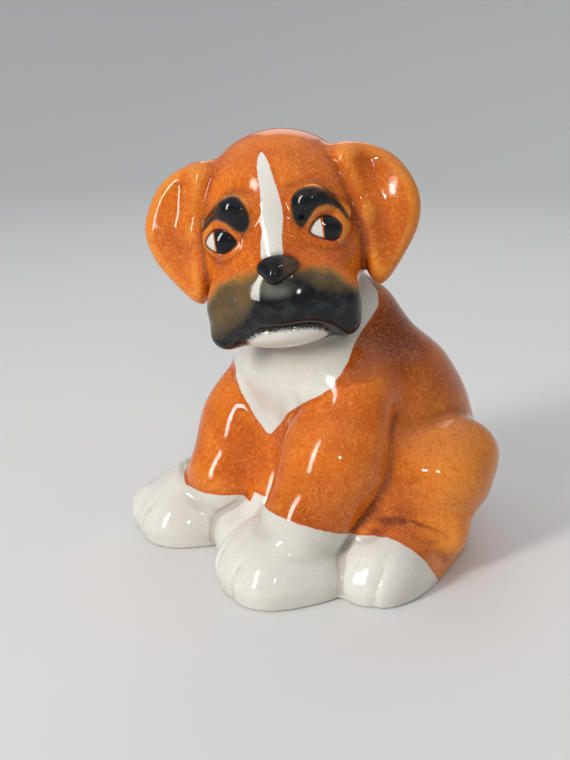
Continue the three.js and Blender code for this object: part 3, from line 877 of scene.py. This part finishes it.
def make_black():
    """Black glaze with a few pale grains."""
    tree, given, out = group("black_glaze_color", {"Brown": 0.0}, ["Color"])
    grain = calc(tree, "MULTIPLY", use(tree, speckle, Spacing=1.9, Size=0.3)["Mask"], 0.28)
    body = blend(tree, grain, BLACK, BLACK_GRAIN)
    body = blend(tree, calc(tree, "MULTIPLY", given["Brown"], 0.75), body, NOSE_BROWN)
    tree.links.new(body, out.inputs["Color"])
    return tree


def make_ripple():
    """The slow unevenness of a hand-dipped glaze, and where its gloss is a little duller."""
    tree, given, out = group("glaze_ripple", {"Gloss": 0.06, "Dull": 0.14}, ["Height", "Roughness"])
    where = place(tree)
    slow = noise(tree, where, 8.5, 1.0)
    fine = calc(tree, "MULTIPLY", noise(tree, where, 1.6, 1.0), 0.08)
    tree.links.new(calc(tree, "ADD", slow, fine), out.inputs["Height"])
    worn = remap(tree, noise(tree, where, 5.0, 4.0), 0.4, 0.7, given["Gloss"], given["Dull"])
    tree.links.new(worn, out.inputs["Roughness"])
    return tree


ORANGE = (0.68, 0.15, 0.010, 1)
ORANGE_DEEP = (0.44, 0.065, 0.004, 1)
ORANGE_BACK_SHADE = (0.27, 0.038, 0.004, 1)
ORANGE_PALE_AND_PAINTED_LIGHT = (0.78, 0.28, 0.035, 1)
# Darker orange for creases, and for the painted shade under the head.
ORANGE_CREASE_AND_SHADE = (0.17, 0.022, 0.002, 1)
ORANGE_GRAIN = (0.88, 0.42, 0.08, 1)
WHITE = (0.74, 0.712, 0.65, 1)
WHITE_GREY = (0.65, 0.622, 0.565, 1)
# Darker white for creases, and for the painted shade under the head.
WHITE_CREASE_AND_SHADE = (0.46, 0.42, 0.36, 1)
CRACK = (0.50, 0.47, 0.42, 1)
BLACK = (0.004, 0.005, 0.007, 1)
BLACK_GRAIN = (0.10, 0.10, 0.09, 1)
NOSE_BROWN = (0.085, 0.05, 0.026, 1)
OLIVE_GOLD = (0.25, 0.13, 0.032, 1)
OLIVE = (0.088, 0.062, 0.030, 1)
MIST = (0.23, 0.255, 0.21, 1)
BROW_EDGE = (0.11, 0.052, 0.015, 1)
SLATE = (0.007, 0.009, 0.011, 1)
SLATE_MOTTLE_AND_REFLECTION = (0.026, 0.032, 0.032, 1)
EYELID = (0.06, 0.018, 0.006, 1)
GLAZE_IOR = 1.4
RIPPLE_DEPTH = 0.00006

crackle = make_crackle()
speckle = make_speckle()
edge = make_edge()
orange = make_orange()
white = make_white()
black = make_black()
ripple = make_ripple()


def finish(material, colour):
    """The colour under a clear, gently uneven gloss."""
    tree = material.node_tree
    shader = tree.nodes["Principled BSDF"]
    tree.links.new(colour, shader.inputs["Base Color"])
    shader.inputs["IOR"].default_value = GLAZE_IOR
    surface = use(tree, ripple)
    tree.links.new(surface["Roughness"], shader.inputs["Roughness"])
    bump = add(tree, "Bump", {"Height": surface["Height"], "Strength": 1.0, "Distance": RIPPLE_DEPTH})
    tree.links.new(bump.outputs["Normal"], shader.inputs["Normal"])


def new_glaze(name):
    material = bpy.data.materials.new(name)
    material.use_nodes = True
    return material, material.node_tree


def orange_under(tree):
    rounded, head_shade, white = (attribute(tree, name) for name in ("round", "head_shade", "white"))
    return use(tree, orange, **{"Round": rounded, "Neck": head_shade, "To White": white})["Color"]


def white_over(tree, below):
    mask = use(tree, edge, Distance=attribute(tree, "white"), Softness=0.35, Wobble=0.7)["Mask"]
    glaze = use(tree, white, Round=attribute(tree, "round"), Neck=attribute(tree, "head_shade"))["Color"]
    return blend(tree, mask, below, glaze)


def make_orange_glaze():
    material, tree = new_glaze("orange_glaze")
    where = place(tree)
    base = orange_under(tree)
    dust = calc(tree, "SUBTRACT", noise(tree, where, 0.8, 2.0), 0.5)
    cloud = calc(tree, "SUBTRACT", noise(tree, where, 6.0, 2.0), 0.5)
    spray = calc(tree, "MULTIPLY_ADD", dust, 0.2, attribute(tree, "spray"))
    spray = calc(tree, "MULTIPLY_ADD", cloud, 0.3, spray)
    olive = blend(tree, remap(tree, spray, 0.28, 0.56), OLIVE_GOLD, OLIVE)
    # Paler grey mottling on the black muzzle, part glaze variation and part painted reflection.
    mottle_and_reflection = remap(tree, noise(tree, where, 4.5, 3.0), 0.44, 0.7, 0.0, 0.7)
    slate = blend(tree, mottle_and_reflection, use(tree, black)["Color"], SLATE_MOTTLE_AND_REFLECTION)
    olive = blend(tree, remap(tree, spray, 0.52, 0.84), olive, slate)
    sprayed = remap(tree, attribute(tree, "spray"), 0.0, 0.06)
    present = calc(tree, "MULTIPLY", remap(tree, spray, 0.06, 0.42), sprayed)
    base = blend(tree, present, base, olive)
    base = blend(tree, calc(tree, "MULTIPLY", attribute(tree, "mist"), 0.55), base, MIST)
    base = white_over(tree, base)
    lip = calc(tree, "MULTIPLY_ADD", dust, 3.0, attribute(tree, "lip"))
    base = blend(tree, remap(tree, lip, 2.6, 0.4), base, SLATE)
    brow = use(tree, edge, Distance=attribute(tree, "brow"), Softness=1.9, Wobble=1.0)["Mask"]
    base = blend(tree, remap(tree, brow, 0.05, 0.5), base, BROW_EDGE)
    dark = use(tree, black)["Color"]
    patchy = remap(tree, noise(tree, where, 3.2, 3.0), 0.5, 0.72, 1.0, 0.72)
    solid = calc(tree, "MAXIMUM", patchy, remap(tree, attribute(tree, "brow"), 1.4, 3.0))
    base = blend(tree, calc(tree, "MULTIPLY", remap(tree, brow, 0.45, 0.95), solid), base, dark)
    rim = use(tree, edge, Distance=attribute(tree, "rim"), Softness=0.5, Wobble=0.3)["Mask"]
    base = blend(tree, calc(tree, "MULTIPLY", rim, 0.85), base, EYELID)
    pupil = use(tree, edge, Distance=attribute(tree, "pupil"), Softness=0.3, Wobble=0.4)["Mask"]
    finish(material, blend(tree, pupil, base, dark))
    return material


def make_white_glaze():
    material, tree = new_glaze("white_glaze")
    base = orange_under(tree)
    finish(material, white_over(tree, base))
    return material


def make_black_glaze():
    material, tree = new_glaze("black_glaze")
    finish(material, use(tree, black, Brown=attribute(tree, "brown"))["Color"])
    return material


GLAZES = {
    "orange_glaze": make_orange_glaze(),
    "white_glaze": make_white_glaze(),
    "black_glaze": make_black_glaze(),
}


def slot_of(name):
    if name == "nose":
        return "black_glaze"
    return "white_glaze" if name.endswith("paw") else "orange_glaze"


def make_piece(name):
    used, index = np.unique(found[name], return_inverse=True)
    skin = index.reshape(-1, 3)
    places, caps = closed(points[used], skin)
    triangles = np.vstack([skin, caps])
    mesh = bpy.data.meshes.new(name)
    mesh.from_pydata(((places + FIGURE_TO_ROW) * MM).tolist(), [], triangles.tolist())
    a, b, c = places[caps].transpose(1, 0, 2)
    across = np.cross(b - a, c - a)
    flat = across / np.maximum(np.linalg.norm(across, axis=1), 1e-9)[:, None]
    corners = np.vstack([normals[used][skin].reshape(-1, 3), flat.repeat(3, axis=0)])
    mesh.polygons.foreach_set("use_smooth", np.ones(len(triangles), bool))
    for zone, value in zones.items():
        layer = mesh.attributes.new(zone, "FLOAT", "POINT")
        row = np.zeros(len(places), np.float32)
        row[:len(used)] = value[used]
        layer.data.foreach_set("value", row)
    mesh.normals_split_custom_set(corners.tolist())
    slot = slot_of(name)
    mesh.materials.append(GLAZES[slot])
    piece = bpy.data.objects.new("glazed_" + name, mesh)
    bpy.context.collection.objects.link(piece)
    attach(piece, "root")
    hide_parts(name)


for name in PIECES:
    make_piece(name)

# Camera, at the photograph's viewing angle
CAMERA_PLACE = Vector((0.2996, -0.2440, 0.177))
CAMERA_HEADING = Vector((-0.809, 0.588, 0.0))
CAMERA_PITCH = math.radians(16)
CAMERA_LENS = 47.37
CAMERA_SENSOR = 36


def make_camera():
    data = bpy.data.cameras.new("camera")
    data.lens = CAMERA_LENS
    data.sensor_width = CAMERA_SENSOR
    camera = bpy.data.objects.new("camera", data)
    bpy.context.collection.objects.link(camera)
    camera.location = CAMERA_PLACE
    looking = CAMERA_HEADING * math.cos(CAMERA_PITCH) - Vector((0, 0, math.sin(CAMERA_PITCH)))
    camera.rotation_euler = looking.to_track_quat("-Z", "Y").to_euler()
    bpy.context.scene.camera = camera


# The floor curves up all round into a wall
FLOOR_RADIUS = 1.6
FLOOR_BEND = 1.4
WALL_TOP = 1.7
FLOOR_COLOUR = (0.75, 0.744, 0.733, 1)
FLOOR_SIDES = 64
BEND_STEPS = 16


def make_floor():
    profile = [(FLOOR_RADIUS * share, 0.0) for share in (0.15, 0.4, 0.7, 1.0)]
    for step in range(1, BEND_STEPS + 1):
        angle = math.pi / 2 * step / BEND_STEPS
        profile.append((FLOOR_RADIUS + FLOOR_BEND * math.sin(angle), FLOOR_BEND * (1 - math.cos(angle))))
    profile.append((FLOOR_RADIUS + FLOOR_BEND, WALL_TOP))
    sides = FLOOR_SIDES
    places = [(0, 0, 0)]
    for radius, height in profile:
        for k in range(sides):
            angle = 2 * math.pi * k / sides
            places.append((radius * math.cos(angle), radius * math.sin(angle), height))
    faces = [(0, 1 + k, 1 + (k + 1) % sides) for k in range(sides)]
    for r in range(len(profile) - 1):
        for k in range(sides):
            a, b = 1 + r * sides + k, 1 + r * sides + (k + 1) % sides
            faces.append((a, a + sides, b + sides, b))
    mesh = bpy.data.meshes.new("floor")
    mesh.from_pydata(places, [], faces)
    mesh.polygons.foreach_set("use_smooth", np.ones(len(faces), bool))
    material = bpy.data.materials.new("pale_floor")
    material.use_nodes = True
    shader = material.node_tree.nodes["Principled BSDF"]
    shader.inputs["Base Color"].default_value = FLOOR_COLOUR
    shader.inputs["Roughness"].default_value = 1.0
    shader.inputs["Specular IOR Level"].default_value = 0.0
    mesh.materials.append(material)
    floor = bpy.data.objects.new("floor", mesh)
    bpy.context.collection.objects.link(floor)


LIGHT_TARGET = Vector((0, 0, 0.08))


def make_light(name, place, size, watts, spread, colour=(1, 1, 1)):
    """A rectangular lamp that faces the figure. Its spread is in degrees."""
    data = bpy.data.lights.new(name, "AREA")
    data.shape = "RECTANGLE"
    data.size, data.size_y = size
    data.spread = math.radians(spread)
    data.energy = watts
    data.color = colour
    light = bpy.data.objects.new(name, data)
    light.location = place
    light.rotation_euler = (LIGHT_TARGET - Vector(place)).to_track_quat("-Z", "Y").to_euler()
    bpy.context.collection.objects.link(light)


ROOM_LOW = (0.14, 0.143, 0.15, 1)
ROOM_HIGH = (0.72, 0.735, 0.76, 1)


def make_world():
    """A dim room, brighter overhead."""
    world = bpy.data.worlds.new("room")
    bpy.context.scene.world = world
    world.use_nodes = True
    tree = world.node_tree
    height = add(tree, "SeparateXYZ", {0: add(tree, "TexCoord").outputs["Generated"]}).outputs["Z"]
    colour = blend(tree, remap(tree, height, -0.1, 1.0), ROOM_LOW, ROOM_HIGH)
    tree.links.new(colour, tree.nodes["Background"].inputs["Color"])


make_camera()
make_floor()
make_light("window", place=(0.20, -1.56, 0.74), size=(0.26, 1.1), watts=3.3, spread=70,
           colour=(1.0, 0.985, 0.96))
make_light("lamp", place=(1.25, -0.7, 0.68), size=(0.1, 0.1), watts=0.16, spread=60,
           colour=(1.0, 0.98, 0.95))
make_light("back_window", place=(-1.2, 1.0, 1.2), size=(1.0, 1.0), watts=0.8, spread=80)
make_world()
view = bpy.context.scene.view_settings
view.view_transform = "Standard"
